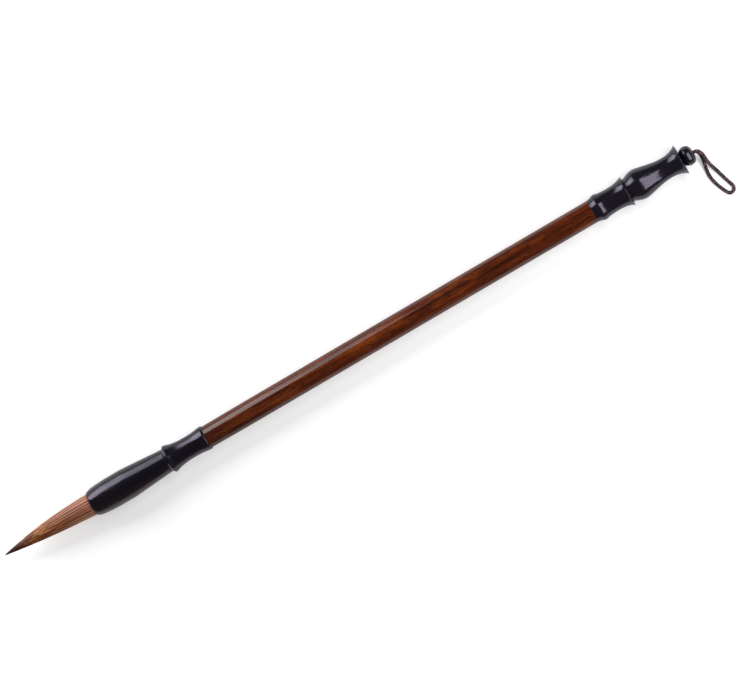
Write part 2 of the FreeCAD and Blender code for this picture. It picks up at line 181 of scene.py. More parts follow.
# The hanging cord
# One length of fine braided cord, dark maroon, doubled. Its ends are knotted inside the bulb. Its middle
# comes out through the bead, sinks to the table, and folds back on itself as a narrow loop.
cord_radius = 0.7 * mm
strand_offset = 0.74 * mm    # of each strand from the brush's axis, one above the other
bead_low, bead_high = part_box("bead")
cord_exit = Vector((bead_high.x, 0, axis_z))
knot_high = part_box("stopper_knot")[1]
loop_route = [
    (0.15575, 0.0, axis_z + strand_offset),
    (0.1567, -0.00055, 0.00678),
    (0.1573, -0.00175, 0.00635),
    (0.1575, -0.0033, 0.0055),
    (0.1575, -0.00485, 0.0044),
    (0.15765, -0.0064, 0.0031),
    (0.1581, -0.0081, 0.0019),
    (0.15875, -0.0102, 0.001),
    (0.1594, -0.0125, 0.0007),
    (0.16, -0.0147, 0.0007),
    (0.16055, -0.01635, 0.0007),
    (0.161, -0.0175, 0.0007),
    (0.16115, -0.0185, 0.0007),
    (0.1609, -0.01945, 0.0007),
    (0.16015, -0.0201, 0.0007),
    (0.15915, -0.0202, 0.0007),
    (0.15825, -0.0197, 0.0007),
    (0.1576, -0.0184, 0.0007),
    (0.15685, -0.0167, 0.0007),
    (0.15615, -0.0148, 0.0007),
    (0.1556, -0.01285, 0.0007),
    (0.15535, -0.0109, 0.0007),
    (0.15545, -0.00905, 0.0007),
    (0.15575, -0.0073, 0.00105),
    (0.15615, -0.00565, 0.0019),
    (0.15645, -0.0041, 0.00295),
    (0.1566, -0.00255, 0.00405),
    (0.15645, -0.00115, 0.00495),
    (0.15575, 0.0, axis_z - strand_offset),
]
stem_stations = [knot_high.x, (knot_high.x + cord_exit.x) / 2, cord_exit.x - 0.4 * mm]
upper_stem = [(x, 0, axis_z + strand_offset) for x in stem_stations]
lower_stem = [(x, 0, axis_z - strand_offset) for x in reversed(stem_stations)]
cord_route = upper_stem + loop_route + lower_stem


def follow(name, route, resolution):
    """Points along the smooth quadratic NURBS line that has the route as its control points."""
    curve = bpy.data.curves.new(name, "CURVE")
    curve.dimensions = "3D"
    curve.resolution_u = resolution
    spline = curve.splines.new("NURBS")
    spline.points.add(len(route) - 1)
    for point, (x, y, z) in zip(spline.points, route):
        point.co = (x, y, z, 1)
    spline.order_u = 3
    spline.use_endpoint_u = True
    holder = bpy.data.objects.new(name, curve)
    line = bpy.data.meshes.new_from_object(holder)
    points = np.empty(len(line.vertices) * 3)
    line.vertices.foreach_get("co", points)
    bpy.data.objects.remove(holder)
    bpy.data.meshes.remove(line)
    return points.reshape(-1, 3)


def surface(name, grid, around=False, ends=False, loop=False):
    """Mesh through a grid of points (rows, columns, 3). around joins the last column to the first, loop joins
    the last row to the first, and ends closes the first and last row, each with a fan about its middle. Faces
    are turned so that they point outwards: the solid's volume, summed over its triangles, is positive."""
    rows, columns = grid.shape[:2]
    number = np.arange(rows * columns).reshape(rows, columns)
    if loop:
        number = np.concatenate([number, number[:1]])
    beyond = np.roll(number, -1, axis=1) if around else number[:, 1:]
    here = number if around else number[:, :-1]
    quads = np.stack([here[:-1], beyond[:-1], beyond[1:], here[1:]], axis=-1).reshape(-1, 4)
    points = grid.reshape(-1, 3)
    triangles = np.empty((0, 3), int)
    if ends:
        middles = np.stack([grid[0].mean(0), grid[-1].mean(0)])
        first = np.stack([np.full(columns, len(points)), beyond[0], here[0]], axis=-1)
        last = np.stack([np.full(columns, len(points) + 1), here[-1], beyond[-1]], axis=-1)
        triangles = np.concatenate([first, last])
        points = np.concatenate([points, middles])
    split = np.concatenate([quads[:, [0, 1, 2]], quads[:, [0, 2, 3]], triangles])
    volume = np.einsum("ij,ij->", points[split[:, 0]], np.cross(points[split[:, 1]], points[split[:, 2]]))
    if volume < 0:
        quads = quads[:, ::-1]
        triangles = triangles[:, ::-1]
    return object_from(name, points, quads.tolist() + triangles.tolist())


def object_from(name, points, faces):
    """Smooth-shaded object of those points and faces, placed by its mesh."""
    mesh = bpy.data.meshes.new(name)
    mesh.from_pydata(points, [], faces)
    mesh.polygons.foreach_set("use_smooth", np.ones(len(mesh.polygons), bool))
    mesh.update()
    made = bpy.data.objects.new(name, mesh)
    bpy.context.scene.collection.objects.link(made)
    return made


def sides_along(points):
    """Two unit vectors across a line at each of its points. The first is that of the point before, less its
    part along the line, so that it turns as little as it can. The second is square to it and to the line."""
    tangents = np.gradient(points, axis=0)
    tangents /= np.linalg.norm(tangents, axis=1)[:, None]
    sides = np.empty_like(points)
    side = np.cross(tangents[0], (0.0, 0.0, 1.0))
    for i, tangent in enumerate(tangents):
        side = side - tangent * side.dot(tangent)
        side = side / np.linalg.norm(side)
        sides[i] = side
    return sides, np.cross(tangents, sides)


cord_line = follow("cord_line", cord_route, 24)
cord_travel = np.concatenate([[0], np.cumsum(np.linalg.norm(np.diff(cord_line, axis=0), axis=1))])
cord_columns = 32
braid_pitch = 1.5 * mm       # length of one full turn of a braid strand
braid_strands = 4            # strands that turn each way
braid_relief = 0.05 * mm
angle = np.arange(cord_columns) / cord_columns * 2 * pi
twist = cord_travel[:, None] / braid_pitch * 2 * pi
# Braid: the higher of two sets of rounded ridges, one turning each way along the cord.
right_ridges = np.abs(np.cos(braid_strands / 2 * (angle[None, :] - twist)))
left_ridges = np.abs(np.cos(braid_strands / 2 * (angle[None, :] + twist)))
relief = np.maximum(right_ridges, left_ridges) - 1
radius = cord_radius + braid_relief * relief
side, up = sides_along(cord_line)
ring = np.cos(angle)[None, :, None] * side[:, None] + np.sin(angle)[None, :, None] * up[:, None]
cord = surface("braided_cord", cord_line[:, None] + radius[..., None] * ring, around=True, ends=True)
# Dyed cotton braid: dull, dark maroon, with a soft sheen. Painted shade: it is dark in the grooves between
# the strands and paler on their crowns.
braided_cotton, tree, output = new_material("maroon_cotton_braid")
groove_shade = add(tree, "ShaderNodeAttribute", attribute_name="groove_shade")
# Paler fibres in patches about 0.7 mm long.
place = add(tree, "ShaderNodeTexCoord")
fuzz = add(tree, "ShaderNodeTexNoise", {"Vector": place.outputs["Object"], "Scale": 1500.0, "Detail": 2.0})
tone = add(tree, "ShaderNodeMath", {0: groove_shade.outputs["Fac"], 1: fuzz.outputs["Fac"]}, operation="MULTIPLY")
colour = add(tree, "ShaderNodeValToRGB", {0: tone.outputs[0]}, [
    (0.3, "#040103"), (0.46, "#220a17"), (0.6, "#a06a82")])
fibre = add(tree, "ShaderNodeBsdfPrincipled", {"Base Color": colour.outputs[0], "Roughness": 0.75})
fibre.inputs["Sheen Weight"].default_value = 0.08
fibre.inputs["Sheen Roughness"].default_value = 0.4
tree.links.new(fibre.outputs[0], output.inputs["Surface"])
# Painted shade between the braid's strands: 0 deep in a groove, 1 on a crown.
groove_shade_values = np.concatenate([(relief + 1).ravel(), [1.0, 1.0]]).astype(np.float32)
cord.data.attributes.new("groove_shade", "FLOAT", "POINT").data.foreach_set("value", groove_shade_values)
cord.data.materials.append(braided_cotton)


# Turned work
# Every horn piece and the shaft are turned on a lathe about the brush's axis, then polished.
def through(stations, samples, start=None, end=None):
    """Smooth outline through (x, r) stations in mm: a cubic spline over the distance between them, whose ends
    have the given directions or no bend. Its second derivatives at the stations solve one linear system."""
    points = np.array(stations, float)
    run = np.linalg.norm(np.diff(points, axis=0), axis=1)
    knots = np.concatenate([[0], np.cumsum(run)])
    count = len(points)
    system = np.zeros((count, count))
    known = np.zeros((count, 2))
    slope = np.diff(points, axis=0) / run[:, None]
    for i in range(1, count - 1):
        system[i, i - 1:i + 2] = run[i - 1], 2 * (run[i - 1] + run[i]), run[i]
        known[i] = 6 * (slope[i] - slope[i - 1])
    system[0, 0] = system[-1, -1] = 1
    if start is not None:
        system[0, :2] = 2 * run[0], run[0]
        known[0] = 6 * (slope[0] - np.array(start) / np.linalg.norm(start))
    if end is not None:
        system[-1, -2:] = run[-1], 2 * run[-1]
        known[-1] = 6 * (np.array(end) / np.linalg.norm(end) - slope[-1])
    bend = np.linalg.solve(system, known)
    t = np.linspace(0, knots[-1], samples)
    i = np.clip(np.searchsorted(knots, t, side="right") - 1, 0, count - 2)
    a = (knots[i + 1] - t)[:, None]
    b = (t - knots[i])[:, None]
    h = run[i][:, None]
    curved = bend[i] * a**3 / (6 * h) + bend[i + 1] * b**3 / (6 * h)
    flat = (points[i] / h - bend[i] * h / 6) * a + (points[i + 1] / h - bend[i + 1] * h / 6) * b
    return curved + flat


def break_edges(outline, closed, reach=0.1):
    """The outline with each sharp corner rounded off by a small parabola that starts reach mm from it. A
    support point beyond each end of the parabola keeps the faces beside it flat. A corner that turns by less
    than 23 degrees, whose cosine is 0.92, stays as it is."""
    ring = np.concatenate([outline[-1:], outline, outline[:1]])
    rounded = []
    for before, corner, after in zip(ring, ring[1:], ring[2:]):
        back, on = before - corner, after - corner
        back_length, on_length = np.linalg.norm(back), np.linalg.norm(on)
        bend = back.dot(on) / (back_length * on_length)
        if bend < -0.92 or (not closed and corner[1] < 1e-9):
            rounded.append(corner)
            continue
        back_reach, on_reach = min(reach, 0.4 * back_length), min(reach, 0.4 * on_length)
        first = corner + back / back_length * back_reach
        last = corner + on / on_length * on_reach
        if back_length > 3 * reach:
            rounded.append(corner + back / back_length * 1.4 * back_reach)
        for t in np.linspace(0, 1, 6):
            rounded.append((1 - t)**2 * first + 2 * t * (1 - t) * corner + t**2 * last)
        if on_length > 3 * reach:
            rounded.append(corner + on / on_length * 1.4 * on_reach)
    return np.array(rounded)


def turned(name, outline_runs, columns=256):
    """Solid of revolution: the outline point (x, r), in mm, at angle a lies at (x, r cos a, axis + r sin a).
    The outline is the runs joined end to end. It starts and ends on the axis, or it closes on itself."""
    outline = [np.array(outline_runs[0], float)]
    for run in outline_runs[1:]:
        run = np.array(run, float)
        outline.append(run[1:] if np.linalg.norm(run[0] - outline[-1][-1]) < 1e-6 else run)
    outline = np.concatenate(outline)
    closed = outline[0, 1] > 1e-9
    if closed and np.linalg.norm(outline[0] - outline[-1]) < 1e-6:
        outline = outline[:-1]
    outline = break_edges(outline, closed) * mm
    turn = np.arange(columns) / columns * 2 * pi
    x, r = outline[:, :1], outline[:, 1:]
    grid = np.stack([x + 0 * turn, r * np.cos(turn), axis_z + r * np.sin(turn)], axis=-1)
    if closed:
        return surface(name, grid, around=True, loop=True)
    return surface(name, grid[1:-1], around=True, ends=True)


# Bead
# A bored, polished bead of black buffalo horn, flat on its two ends, held against the dished end of the bulb
# by the cord that runs through it.
def horn_material(name, dark, warm, painted_under_light, roughness, worn):
    """Polished buffalo horn: nearly black keratin whose fine fibres run along the piece, some of them brown.
    The piece grows browner towards -Y, by a share given for each horn, which is painted bounce light from
    below. The hand polish is a little wavy and scratched, and rougher by up to worn where fingers have dulled
    it."""
    made, tree, output = new_material(name)
    place = add(tree, "ShaderNodeTexCoord")
    # Fibres about 0.4 mm wide and 12 mm long.
    along_fibre = add(tree, "ShaderNodeMapping", {
        "Vector": place.outputs["Object"], "Scale": (80, 2400, 2400)})
    fibre = add(tree, "ShaderNodeTexNoise", {"Vector": along_fibre.outputs[0], "Scale": 1.0, "Detail": 5.0})
    fibre.inputs["Roughness"].default_value = 0.6
    # Cloudy warmer zones about 8 mm across and 20 mm long.
    along_cloud = add(tree, "ShaderNodeMapping", {"Vector": place.outputs["Object"], "Scale": (50, 130, 130)})
    cloud = add(tree, "ShaderNodeTexNoise", {"Vector": along_cloud.outputs[0], "Scale": 1.0, "Detail": 2.0})
    streaks = add(tree, "ShaderNodeMapRange", {0: fibre.outputs["Fac"], 1: 0.5, 2: 0.75})
    zones = add(tree, "ShaderNodeMapRange", {0: cloud.outputs["Fac"], 1: 0.4, 2: 0.7})
    share = add(tree, "ShaderNodeMath", {0: streaks.outputs[0], 1: zones.outputs[0]}, operation="MULTIPLY")
    share = add(tree, "ShaderNodeMath", {0: share.outputs[0], 1: 0.5}, operation="MULTIPLY")
    split = add(tree, "ShaderNodeSeparateXYZ", {0: place.outputs["Object"]})
    # Painted bounce light: the horn is browner towards -Y, where light comes up from below.
    side = add(tree, "ShaderNodeMapRange", {0: split.outputs["Y"], 1: -0.0015, 2: -0.006, 4: painted_under_light})
    share = add(tree, "ShaderNodeMath", {0: share.outputs[0], 1: side.outputs[0]}, use_clamp=True)
    colour = add(tree, "ShaderNodeMix", {
        0: share.outputs[0], 6: linear(dark), 7: linear(warm)}, data_type="RGBA")
    # Hairline scratches, 0.1 mm wide and a few mm long, that dull the polish.
    along_scratch = add(tree, "ShaderNodeMapping", {
        "Vector": place.outputs["Object"], "Scale": (350, 9000, 9000)})
    along_scratch.inputs["Rotation"].default_value = (0, 0, 0.12)
    scratch = add(tree, "ShaderNodeTexNoise", {
        "Vector": along_scratch.outputs[0], "Scale": 1.0, "Detail": 2.0})
    dull = add(tree, "ShaderNodeMapRange", {
        0: scratch.outputs["Fac"], 1: 0.45, 2: 0.8, 3: roughness, 4: roughness + 0.12})
    # Dulled patches about 5 mm across and 14 mm long.
    along_patch = add(tree, "ShaderNodeMapping", {"Vector": place.outputs["Object"], "Scale": (70, 200, 200)})
    patch = add(tree, "ShaderNodeTexNoise", {"Vector": along_patch.outputs[0], "Scale": 1.0, "Detail": 1.0})
    patches = add(tree, "ShaderNodeMapRange", {0: patch.outputs["Fac"], 1: 0.42, 2: 0.6, 3: 0.0, 4: worn})
    dull = add(tree, "ShaderNodeMath", {0: dull.outputs[0], 1: patches.outputs[0]})
    # Waves left by hand polishing, about 1.5 mm across and 8 mm long.
    along_wave = add(tree, "ShaderNodeMapping", {"Vector": place.outputs["Object"], "Scale": (120, 650, 650)})
    wave = add(tree, "ShaderNodeTexNoise", {"Vector": along_wave.outputs[0], "Scale": 1.0, "Detail": 2.0})
    waves = add(tree, "ShaderNodeBump", {"Height": wave.outputs["Fac"], "Strength": 1.0, "Distance": 0.0001})
    bump = add(tree, "ShaderNodeBump", {
        "Height": fibre.outputs["Fac"], "Strength": 0.12, "Distance": 0.00003, "Normal": waves.outputs[0]})
    polish = add(tree, "ShaderNodeBsdfPrincipled", {
        "Base Color": colour.outputs[2], "Roughness": dull.outputs[0], "Normal": bump.outputs[0]})
    polish.inputs["IOR"].default_value = 1.43
    polish.inputs["Specular Tint"].default_value = linear("#ece4ff")
    tree.links.new(polish.outputs[0], output.inputs["Surface"])
    return made


def finish_piece(piece, body, slot, material, *nodes):
    """Gives the piece its material, lets it ride on its body, and lets it replace the CAD nodes. Its slot
    argument is not used.
    """
    piece.data.materials.append(material)
    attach(piece, body)
    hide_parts(*nodes)


black_horn = horn_material("polished_buffalo_horn", "#110e16", "#2a1c18", 0.1, 0.12, 0.03)
plum_horn = horn_material("polished_buffalo_horn_plum", "#0b0810", "#32201a", 0.9, 0.12, 0.05)
bead_start = bead_low.x / mm
cord_hole = 1.5
bead_profile = [
    (0, 2.15), (0.45, 2.68), (1.1, 3.2), (1.8, 3.62), (2.4, 3.85), (3.0, 3.92), (3.6, 3.79), (4.4, 3.55),
    (4.8, 3.2), (5.15, 2.68), (5.45, 2.0)]
bead_outer = through([(bead_start + x, r) for x, r in bead_profile], 60)
bead_hole = [(bead_start + bead_profile[-1][0], cord_hole), (bead_start, cord_hole), bead_outer[0]]
bead = turned("horn_bead", [bead_outer, bead_hole], 128)
finish_piece(bead, "bead", "horn", black_horn, "bead")


# Tail bulb
# The horn finial, turned with an angular belly, a hollow waist and a flared, dished end.
bulb_low, bulb_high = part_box("tail_bulb")
bulb_start, bulb_end = bulb_low.x / mm, bulb_high.x / mm
stock_radius = axis_z / mm
dowel_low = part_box("tail_dowel")[0]
knot_room_end = knot_high.x / mm
dowel_hole = 2.34
lip_thickness = 0.25
lip_rear_radius = stock_radius - 0.08
neck_radius = 4.85
widest = (5.1, stock_radius)
belly_profile = [(0.7, neck_radius), (1.6, 5.22), (2.8, 5.7), (4.0, 6.02), widest]
flare_profile = [
    widest, (7.2, 5.8), (10.6, 5.03), (13.8, 4.4), (16.4, 4.2), (18.8, 4.32), (20.8, 4.85), (22.1, 5.47),
    (bulb_end - bulb_start - lip_thickness, stock_radius)]
belly = through([(bulb_start + x, r) for x, r in belly_profile], 50, start=(1, 0.25), end=(1, 0))
flare = through([(bulb_start + x, r) for x, r in flare_profile], 110, start=(1, 0), end=(1, 0.9))
dish_radius = 5.5
dish_depth = 1.0
# The dish is part of a ball.
dish_ball = (dish_radius**2 + dish_depth**2) / (2 * dish_depth)
dish_turns = np.linspace(dish_radius, cord_hole, 40)
dish_x = bulb_end - dish_depth + dish_ball - np.sqrt(dish_ball**2 - dish_turns**2)
dish = np.stack([dish_x, dish_turns], axis=-1)
bulb_lip = [flare[-1], (bulb_end, lip_rear_radius), dish[0]]
bulb_hole = [
    (knot_room_end, cord_hole), (knot_room_end, dowel_hole), (bulb_start, dowel_hole),
    (bulb_start, neck_radius)]
bulb = turned("tail_bulb_horn", [
    [(bulb_start, neck_radius), belly[0]], belly, flare, bulb_lip, dish, bulb_hole])
finish_piece(bulb, "handle", "horn", black_horn, "tail_bulb")


# Stopper knot
# The two ends of the cord, tied into one tight knot that cannot pass the narrow hole in the bulb.
def cad_material(node, material):
    """Gives a CAD piece that is kept its material."""
    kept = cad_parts[node]
    kept.data.materials.clear()
    kept.data.materials.append(material)


# The same cotton, with strands that wind round the knot, 0.4 mm apart.
knotted_cotton, tree, output = new_material("maroon_cotton_knot")
place = add(tree, "ShaderNodeTexCoord")
wound = add(tree, "ShaderNodeTexWave", {"Vector": place.outputs["Object"], "Scale": 800.0, "Distortion": 3.0})
colour = add(tree, "ShaderNodeValToRGB", {0: wound.outputs["Fac"]}, [(0.0, "#170a0d"), (1.0, "#4a262c")])
dent = add(tree, "ShaderNodeBump", {"Height": wound.outputs["Fac"], "Strength": 0.6, "Distance": 0.0001})
fibre = add(tree, "ShaderNodeBsdfPrincipled", {
    "Base Color": colour.outputs[0], "Roughness": 0.8, "Normal": dent.outputs[0]})
tree.links.new(fibre.outputs[0], output.inputs["Surface"])
cad_material("stopper_knot", knotted_cotton)


# Tail collar
# Turned horn between shaft and bulb: a rounded shoulder, a hollow waist and a thin flared lip.
collar_low, collar_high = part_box("tail_collar")
collar_start, collar_end = collar_low.x / mm, collar_high.x / mm
tenon_hole = 3.04
tenon_room_end = dowel_low.x / mm
shoulder_top = (2.85, 5.34)
shoulder_profile = [(0, 4.62), (1.1, 4.85), (1.9, 5.15), shoulder_top]
collar_profile = [
    shoulder_top, (4.1, 5.1), (6.2, 4.83), (9.3, 4.75), (11.8, 4.97), (13.4, 5.4),
    (collar_end - collar_start - lip_thickness, stock_radius)]
shoulder = through([(collar_start + x, r) for x, r in shoulder_profile], 40, start=(1, 0.1), end=(1, 0))
collar_flare = through([(collar_start + x, r) for x, r in collar_profile], 80, start=(1, 0), end=(1, 0.9))
collar_holes = [
    collar_flare[-1], (collar_end, lip_rear_radius), (collar_end, dowel_hole), (tenon_room_end, dowel_hole),
    (tenon_room_end, tenon_hole), (collar_start, tenon_hole), shoulder[0]]
tail_collar = turned("tail_collar_horn", [shoulder, collar_flare, collar_holes])
finish_piece(tail_collar, "handle", "horn", black_horn, "tail_collar")


# Tail dowel
# A beech peg glued into both turned pieces of the tail. It is hidden once they are joined.
beech, tree, output = new_material("glued_beech_dowel")
place = add(tree, "ShaderNodeTexCoord")
# Flecks about 0.3 mm wide and 3 mm long.
along_grain = add(tree, "ShaderNodeMapping", {"Vector": place.outputs["Object"], "Scale": (300, 3000, 3000)})
fleck = add(tree, "ShaderNodeTexNoise", {"Vector": along_grain.outputs[0], "Scale": 1.0, "Detail": 4.0})
colour = add(tree, "ShaderNodeValToRGB", {0: fleck.outputs["Fac"]}, [(0.35, "#a87c50"), (0.65, "#d9b48a")])
bump = add(tree, "ShaderNodeBump", {"Height": fleck.outputs["Fac"], "Strength": 0.3, "Distance": 0.00005})
wood = add(tree, "ShaderNodeBsdfPrincipled", {
    "Base Color": colour.outputs[0], "Roughness": 0.6, "Normal": bump.outputs[0]})
tree.links.new(wood.outputs[0], output.inputs["Surface"])
cad_material("tail_dowel", beech)


# Shaft
# A slim straight stick of rosewood with a tenon at each end, turned, sanded and lacquered. The place of the
# inscription is left bare.
shaft_box_low, shaft_box_high = shaft_low.x / mm, shaft_high.x / mm
front_tenon = 11.5
tail_tenon = 7.0
tenon_radius = 3.0
shaft_start = shaft_box_low + front_tenon
shaft_end = shaft_box_high - tail_tenon
shaft_radius = 4.55
front_radius = shaft_radius - 0.12
tail_radius = shaft_radius - 0.03
taper_end = shaft_start + 20
front_taper = through(
    [(shaft_start, front_radius), (taper_end, shaft_radius)], 14, start=(1, 0.011), end=(1, 0))
stick_run = np.linspace((taper_end, shaft_radius), (shaft_end, tail_radius), 40)
front_end = [(shaft_box_low, 0), (shaft_box_low, tenon_radius), (shaft_start, tenon_radius), front_taper[0]]
tail_end = [stick_run[-1], (shaft_end, tenon_radius), (shaft_box_high, tenon_radius), (shaft_box_high, 0)]
shaft = turned("rosewood_shaft", [front_end, front_taper, stick_run, tail_end])
# Rosewood: red-brown with dark lengthwise streaks, amber flashes and fine dark pores, under a clear gloss
# lacquer that is smooth but follows the grain a little.
rosewood, tree, output = new_material("lacquered_rosewood")
place = add(tree, "ShaderNodeTexCoord")
# Dark growth streaks about 1 mm wide and 40 mm long.
along_streak = add(tree, "ShaderNodeMapping", {"Vector": place.outputs["Object"], "Scale": (25, 900, 900)})
streak = add(tree, "ShaderNodeTexNoise", {"Vector": along_streak.outputs[0], "Scale": 1.0, "Detail": 6.0})
streak.inputs["Roughness"].default_value = 0.7
colour = add(tree, "ShaderNodeValToRGB", {0: streak.outputs["Fac"]}, [
    (0.31, "#1d0702"), (0.45, "#401503"), (0.56, "#592107"), (0.70, "#843f10")])
# Amber flashes about 4 mm wide and 12 mm long.
along_flash = add(tree, "ShaderNodeMapping", {"Vector": place.outputs["Object"], "Scale": (80, 240, 240)})
flash = add(tree, "ShaderNodeTexNoise", {"Vector": along_flash.outputs[0], "Scale": 1.0, "Detail": 2.0})
flashes = add(tree, "ShaderNodeMapRange", {0: flash.outputs["Fac"], 1: 0.52, 2: 0.72, 3: 0.0, 4: 0.55})
colour = add(tree, "ShaderNodeMix", {
    0: flashes.outputs[0], 6: colour.outputs[0], 7: linear("#7e3a0c")}, data_type="RGBA")
# Pores 2.5 mm long, drawn 0.25 mm wide, which is twice the real width, so that they show.
along_pore = add(tree, "ShaderNodeMapping", {"Vector": place.outputs["Object"], "Scale": (400, 4000, 4000)})
pore = add(tree, "ShaderNodeTexNoise", {"Vector": along_pore.outputs[0], "Scale": 1.0, "Detail": 1.0})
pores = add(tree, "ShaderNodeMapRange", {0: pore.outputs["Fac"], 1: 0.58, 2: 0.66, 3: 0.0, 4: 0.75})
colour = add(tree, "ShaderNodeMix", {
    0: pores.outputs[0], 6: colour.outputs[2], 7: linear("#180601")}, data_type="RGBA")
# The stick is darker near the ferrule.
dark_run = 45
split = add(tree, "ShaderNodeSeparateXYZ", {0: place.outputs["Object"]})
darker = add(tree, "ShaderNodeMapRange", {
    0: split.outputs["X"], 1: shaft_start * mm, 2: (shaft_start + dark_run) * mm, 3: 0.5, 4: 0.0})
colour = add(tree, "ShaderNodeMix", {
    0: darker.outputs[0], 6: colour.outputs[2], 7: linear("#2a0f09")}, data_type="RGBA")
height = add(tree, "ShaderNodeMath", {0: streak.outputs["Fac"], 1: pores.outputs[0]}, operation="SUBTRACT")
bump = add(tree, "ShaderNodeBump", {"Height": height.outputs[0], "Strength": 0.15, "Distance": 0.00003})
gloss = add(tree, "ShaderNodeMapRange", {0: streak.outputs["Fac"], 1: 0.3, 2: 0.7, 3: 0.32, 4: 0.45})
wood = add(tree, "ShaderNodeBsdfPrincipled", {
    "Base Color": colour.outputs[2], "Roughness": gloss.outputs[0], "Normal": bump.outputs[0]})
wood.inputs["Specular IOR Level"].default_value = 0.0
wood.inputs["Coat Weight"].default_value = 0.65
wood.inputs["Coat Roughness"].default_value = 0.1
wood.inputs["Coat IOR"].default_value = 1.5
tree.links.new(wood.outputs[0], output.inputs["Surface"])
finish_piece(shaft, "handle", "rosewood", rosewood, "shaft")


# Ferrule collar
# Turned horn that joins the cup to the shaft: a sharp ring, a hollow waist and a small lip against the wood.
# Its spigot is glued into the cup.
ferrule_low, ferrule_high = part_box("ferrule_collar")
spigot_length = 11.0
ring_start, ferrule_end = ferrule_low.x / mm + spigot_length, ferrule_high.x / mm
glue_gap = 0.3               # left for glue at the bottom of each blind hole
tenon_bottom = shaft_box_low - glue_gap
ring_radius = 5.65
lip_radius = 4.93
lip_start = ring_start + 16.9
cup_rear_radius = 4.75
waist_profile = [
    (1.6, ring_radius), (2.3, 5.4), (4.0, 4.92), (7.0, 4.47), (10.2, 4.37), (13.2, 4.48), (15.4, 4.76)]
waist = through([(ring_start + x, r) for x, r in waist_profile] + [(lip_start, lip_radius)], 90)
wood_lip = through(
    [(lip_start, lip_radius), (lip_start + 0.5, lip_radius - 0.05), (ferrule_end, lip_radius - 0.33)], 10)
spigot_and_ring = [
    (ferrule_low.x / mm, 0), (ferrule_low.x / mm, tenon_radius), (ring_start, tenon_radius),
    (ring_start, cup_rear_radius), (ring_start + 1.0, ring_radius), waist[0]]
tenon_room = [wood_lip[-1], (ferrule_end, tenon_hole), (tenon_bottom, tenon_hole), (tenon_bottom, 0)]
ferrule_collar = turned("ferrule_collar_horn", [spigot_and_ring, waist, wood_lip, tenon_room])
finish_piece(ferrule_collar, "handle", "horn", plum_horn, "ferrule_collar")


# Ferrule cup
# The turned horn barrel that holds the tuft: a rounded lip, a full barrel and a long taper. It is bored at
# both ends.
cup_low, cup_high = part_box("ferrule_cup")
mouth, cup_end = cup_low.x / mm, cup_high.x / mm
hair_hole = 4.5
hair_hole_depth = 14.0
hair_hole_end = mouth + hair_hole_depth
spigot_room = cup_end - spigot_length - glue_gap
cup_lip_radius = hair_hole + 0.15
front_profile = [(0, cup_lip_radius), (0.8, 5.25), (3.1, 5.72), (6.6, 5.99), (9.5, stock_radius)]
rear_profile = [(14.5, stock_radius), (19.4, 5.83), (26.8, 5.25), (cup_end - mouth, cup_rear_radius)]
cup_front = through([(mouth + x, r) for x, r in front_profile], 60, start=(0, 1), end=(1, 0))
cup_rear = through([(mouth + x, r) for x, r in rear_profile], 60, start=(1, 0), end=(1, -0.05))
ferrule_cup = turned("ferrule_cup_horn", [
    [(hair_hole_end, 0), (hair_hole_end, hair_hole), (mouth, hair_hole), cup_front[0]], cup_front, cup_rear,
    [cup_rear[-1], (cup_end, tenon_hole), (spigot_room, tenon_hole), (spigot_room, 0)]])
finish_piece(ferrule_cup, "handle", "horn", plum_horn, "ferrule_cup")


# Rosin seal
# Rosin melted over the butts of the hairs, which glues the tuft to the bottom of the cup: amber-brown and
# glossy, cloudy in patches about 2.5 mm across.
amber_rosin, tree, output = new_material("melted_rosin")
place = add(tree, "ShaderNodeTexCoord")
cloud = add(tree, "ShaderNodeTexNoise", {"Vector": place.outputs["Object"], "Scale": 400.0, "Detail": 3.0})
colour = add(tree, "ShaderNodeValToRGB", {0: cloud.outputs["Fac"]}, [(0.3, "#6a3208"), (0.7, "#b0641c")])
bump = add(tree, "ShaderNodeBump", {"Height": cloud.outputs["Fac"], "Strength": 0.4, "Distance": 0.0002})
resin = add(tree, "ShaderNodeBsdfPrincipled", {"Base Color": colour.outputs[0], "Normal": bump.outputs[0]})
resin.inputs["Roughness"].default_value = 0.15
tree.links.new(resin.outputs[0], output.inputs["Surface"])
cad_material("rosin_seal", amber_rosin)


# Root binding
# Six turns of undyed cotton thread, side by side, that bind the butt of the tuft before it is glued in.
cotton_thread, tree, output = new_material("undyed_cotton_thread")
place = add(tree, "ShaderNodeTexCoord")
# The twist of the thread, 0.35 mm apart.
ply = add(tree, "ShaderNodeTexWave", {"Vector": place.outputs["Object"], "Scale": 900.0, "Distortion": 2.0})
colour = add(tree, "ShaderNodeValToRGB", {0: ply.outputs["Fac"]}, [(0.0, "#b3a284"), (1.0, "#e3d8c0")])
bump = add(tree, "ShaderNodeBump", {"Height": ply.outputs["Fac"], "Strength": 0.5, "Distance": 0.00005})
thread = add(tree, "ShaderNodeBsdfPrincipled", {
    "Base Color": colour.outputs[0], "Roughness": 0.85, "Normal": bump.outputs[0]})
tree.links.new(thread.outputs[0], output.inputs["Surface"])
cad_material("root_binding", cotton_thread)


# Hair root
# The bound butt of the tuft inside the cup: hairs pressed side by side, with a groove where the thread grips
# them.
hair_radius = 4.43
tip_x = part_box("hair_core")[0].x / mm
binding_low, binding_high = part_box("root_binding")
root_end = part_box("rosin_seal")[0].x / mm
groove_radius = 3.95
pressed_radius = hair_radius - 0.1
root_start = mouth + 1.5
hair_seed = 7
random = np.random.default_rng(hair_seed)
